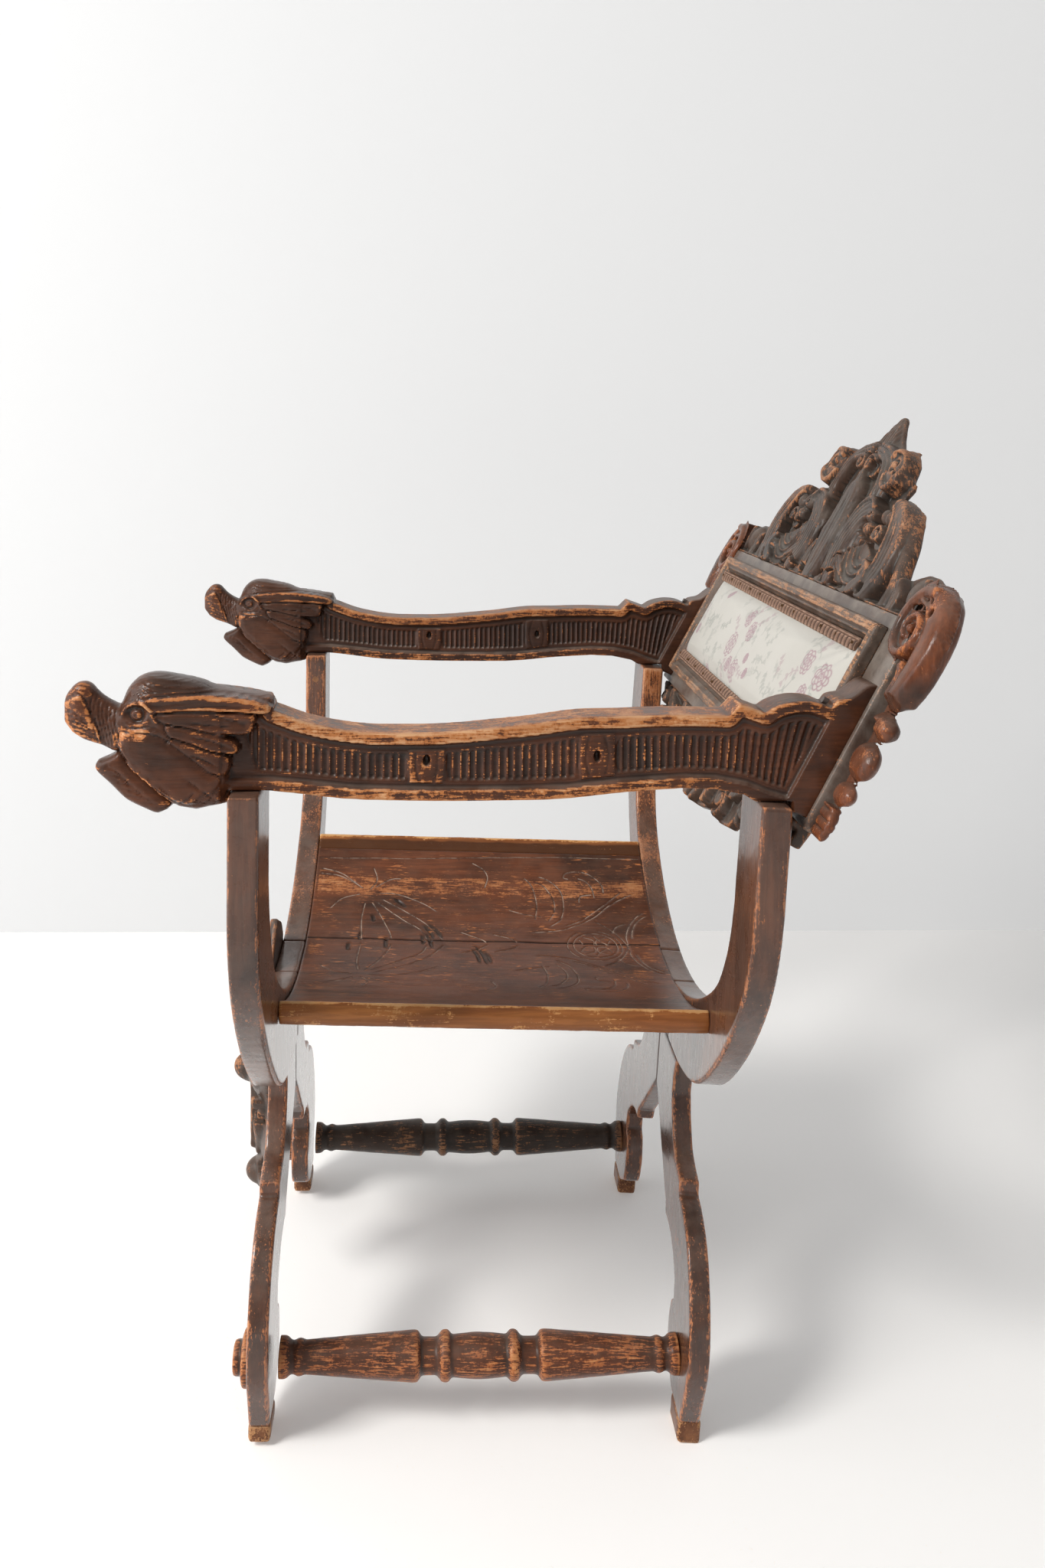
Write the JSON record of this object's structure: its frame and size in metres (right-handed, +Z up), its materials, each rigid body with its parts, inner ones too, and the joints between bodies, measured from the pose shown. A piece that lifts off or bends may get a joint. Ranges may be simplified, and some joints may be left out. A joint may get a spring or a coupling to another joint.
{
  "type": "savonarola chair",
  "caption": "Savonarola armchair with two slung curved frames, turned stretchers, carved beast-head arms and a raked, padded back.",
  "frame": {"origin": "on the floor, under the middle of the whole chair's bounding box", "axes": "+X towards the sitter's left, +Y towards the back, +Z up"},
  "size_m": [0.739, 0.8304, 0.9704],
  "materials": {
    "dark_oak": "dark stained, worn satin",
    "arm_wood": "dark stained, edges worn pale",
    "back_wood": "dark stained carving, worn satin",
    "seat_wood": "dark stained, dusty",
    "turned_wood": "dark stained, worn to bare wood",
    "pale_edge_wood": "worn pale satin",
    "foot_wood": "bare, matt",
    "dowel_wood": "bare, matt",
    "floral_cloth": "woven cotton with a small flower pattern",
    "gimp_braid": "brown braid",
    "brass": "dull",
    "iron": "dark, matt"
  },
  "bodies": {
    "root": {"arm_dowels": "dowel_wood", "arm_left": "arm_wood", "arm_pegs": "dowel_wood", "arm_right": "arm_wood", "back_apron": "back_wood", "back_arch_left": "dark_oak", "back_arch_right": "dark_oak", "back_board": "back_wood", "back_centre_block": "dark_oak", "back_crest": "back_wood", "back_foot_left": "foot_wood", "back_foot_right": "foot_wood", "back_gimp_bottom": "gimp_braid", "back_gimp_top": "gimp_braid", "back_leg_left": "dark_oak", "back_leg_right": "dark_oak", "back_moulding_bottom": "back_wood", "back_moulding_left": "back_wood", "back_moulding_right": "back_wood", "back_moulding_top": "back_wood", "back_pad": "floral_cloth", "back_screws": "iron", "back_wing_left": "back_wood", "back_wing_right": "back_wood", "frame_dowels": "dowel_wood", "front_arch_left": "dark_oak", "front_arch_right": "dark_oak", "front_cartouche": "dark_oak", "front_centre_block": "dark_oak", "front_foot_left": "foot_wood", "front_foot_right": "foot_wood", "front_leg_left": "dark_oak", "front_leg_right": "dark_oak", "gimp_nails": "brass", "seat_board_left": "seat_wood", "seat_board_right": "seat_wood", "seat_rail_left": "pale_edge_wood", "seat_rail_right": "pale_edge_wood", "stretcher_boss_left": "turned_wood", "stretcher_boss_right": "turned_wood", "stretcher_left": "turned_wood", "stretcher_right": "turned_wood"}
  },
  "joints": []
}
